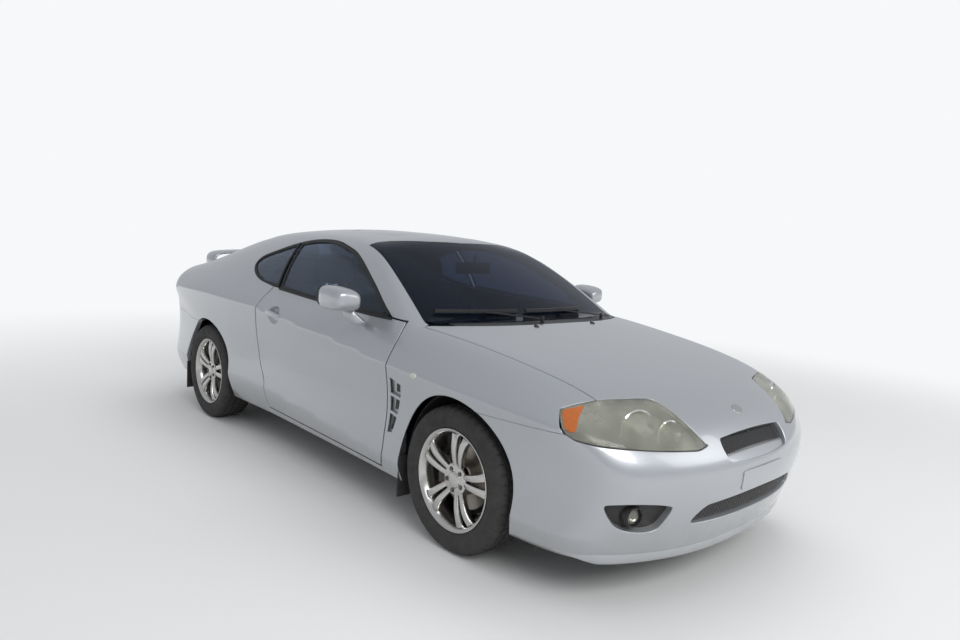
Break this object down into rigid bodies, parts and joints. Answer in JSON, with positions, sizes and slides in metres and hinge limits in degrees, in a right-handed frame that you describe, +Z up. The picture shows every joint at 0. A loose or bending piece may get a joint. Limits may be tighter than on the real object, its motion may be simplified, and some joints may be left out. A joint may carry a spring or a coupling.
{
  "type": "two-door liftback coupe car",
  "caption": "Silver two-door liftback coupe with opening doors, bonnet and tailgate, steered front wheels and a rear wing.",
  "frame": {"origin": "on the ground below the middle of the car's bounding box", "axes": "+X forward, +Y to the car's left, +Z up"},
  "size_m": [4.3954, 2.01, 1.3309],
  "materials": {
    "paint": "silver metallic",
    "glass": "clear",
    "dark_glass": "tinted",
    "lamp": "hazed clear lens",
    "tail_lamp": "red lens",
    "steel": "black",
    "floor": "sealed",
    "liner": "matt",
    "iron": "cast",
    "exhaust": "dull",
    "trim": "grained",
    "seat": "woven",
    "tyre": "worn",
    "alloy": "bright, with brake dust"
  },
  "bodies": {
    "car": {"side_right": "paint", "side_left": "paint", "wing_right": "paint", "wing_left": "paint", "headlamps": "lamp", "front_bumper": "paint", "roof": "paint", "sunroof_glass": "dark_glass", "windscreen": "glass", "rear_bumper": "paint", "tail_lamps": "tail_lamp", "quarter_glass": "glass", "rear_axle": "steel", "front_suspension": "steel", "floor": "floor", "firewall": "floor", "wheel_liners": "liner", "engine": "iron", "exhaust": "exhaust", "dashboard": "trim", "front_seats": "seat", "wipers": "trim", "inner_mirror": "trim", "rear_seat": "seat", "console": "trim", "grilles": "trim", "fog_lamps": "lamp", "mud_flaps": "liner", "front_frame": "steel"},
    "door_right_body": {"door_right": "paint", "door_glass_right": "glass", "mirror_right": "paint"},
    "door_left_body": {"door_left": "paint", "door_glass_left": "glass", "mirror_left": "paint"},
    "bonnet_body": {"bonnet": "paint"},
    "tailgate_body": {"tailgate": "paint", "rear_glass": "glass", "spoiler": "paint"},
    "steering_wheel_body": {"steering_wheel": "trim"},
    "knuckle_right_body": {"knuckle_right": "iron"},
    "knuckle_left_body": {"knuckle_left": "iron"},
    "wheel_front_right": {"tyre_front_right": "tyre", "rim_front_right": "alloy"},
    "wheel_front_left": {"tyre_front_left": "tyre", "rim_front_left": "alloy"},
    "wheel_rear_right": {"tyre_rear_right": "tyre", "rim_rear_right": "alloy"},
    "wheel_rear_left": {"tyre_rear_left": "tyre", "rim_rear_left": "alloy"}
  },
  "joints": [
    {"name": "steer_right", "type": "hinge", "parent": "car", "child": "knuckle_right_body", "pos_m": [1.2625, -0.725, 0.313], "axis": [0, 0, 1], "range_deg": [-32, 32]},
    {"name": "steer_left", "type": "hinge", "parent": "car", "child": "knuckle_left_body", "pos_m": [1.2625, 0.725, 0.313], "axis": [0, 0, 1], "range_deg": [-32, 32]},
    {"name": "steering_wheel_turn", "type": "hinge", "parent": "car", "child": "steering_wheel_body", "pos_m": [0.33, 0.365, 0.8], "axis": [-0.9135, 0, 0.4067], "range_deg": [-480, 480]},
    {"name": "spin_front_right", "type": "hinge", "parent": "knuckle_right_body", "child": "wheel_front_right", "pos_m": [1.2625, -0.745, 0.313], "axis": [0, 1, 0], "continuous": true},
    {"name": "spin_front_left", "type": "hinge", "parent": "knuckle_left_body", "child": "wheel_front_left", "pos_m": [1.2625, 0.745, 0.313], "axis": [0, 1, 0], "continuous": true},
    {"name": "spin_rear_right", "type": "hinge", "parent": "car", "child": "wheel_rear_right", "pos_m": [-1.2675, -0.745, 0.313], "axis": [0, 1, 0], "continuous": true},
    {"name": "spin_rear_left", "type": "hinge", "parent": "car", "child": "wheel_rear_left", "pos_m": [-1.2675, 0.745, 0.313], "axis": [0, 1, 0], "continuous": true},
    {"name": "door_right_hinge", "type": "hinge", "parent": "car", "child": "door_right_body", "pos_m": [0.704, -0.828, 0.5], "axis": [0, 0, 1], "range_deg": [0, 66]},
    {"name": "door_left_hinge", "type": "hinge", "parent": "car", "child": "door_left_body", "pos_m": [0.704, 0.828, 0.5], "axis": [0, 0, -1], "range_deg": [0, 66]},
    {"name": "bonnet_hinge", "type": "hinge", "parent": "car", "child": "bonnet_body", "pos_m": [0.862, 0, 0.905], "axis": [0, -1, 0], "range_deg": [0, 52]},
    {"name": "tailgate_hinge", "type": "hinge", "parent": "car", "child": "tailgate_body", "pos_m": [-0.935, 0, 1.28893], "axis": [0, 1, 0], "range_deg": [0, 68]}
  ],
  "couplings": [
    {"joint": "steer_right", "follows": "steering_wheel_turn", "ratio": 0.066667},
    {"joint": "steer_left", "follows": "steering_wheel_turn", "ratio": 0.066667}
  ]
}
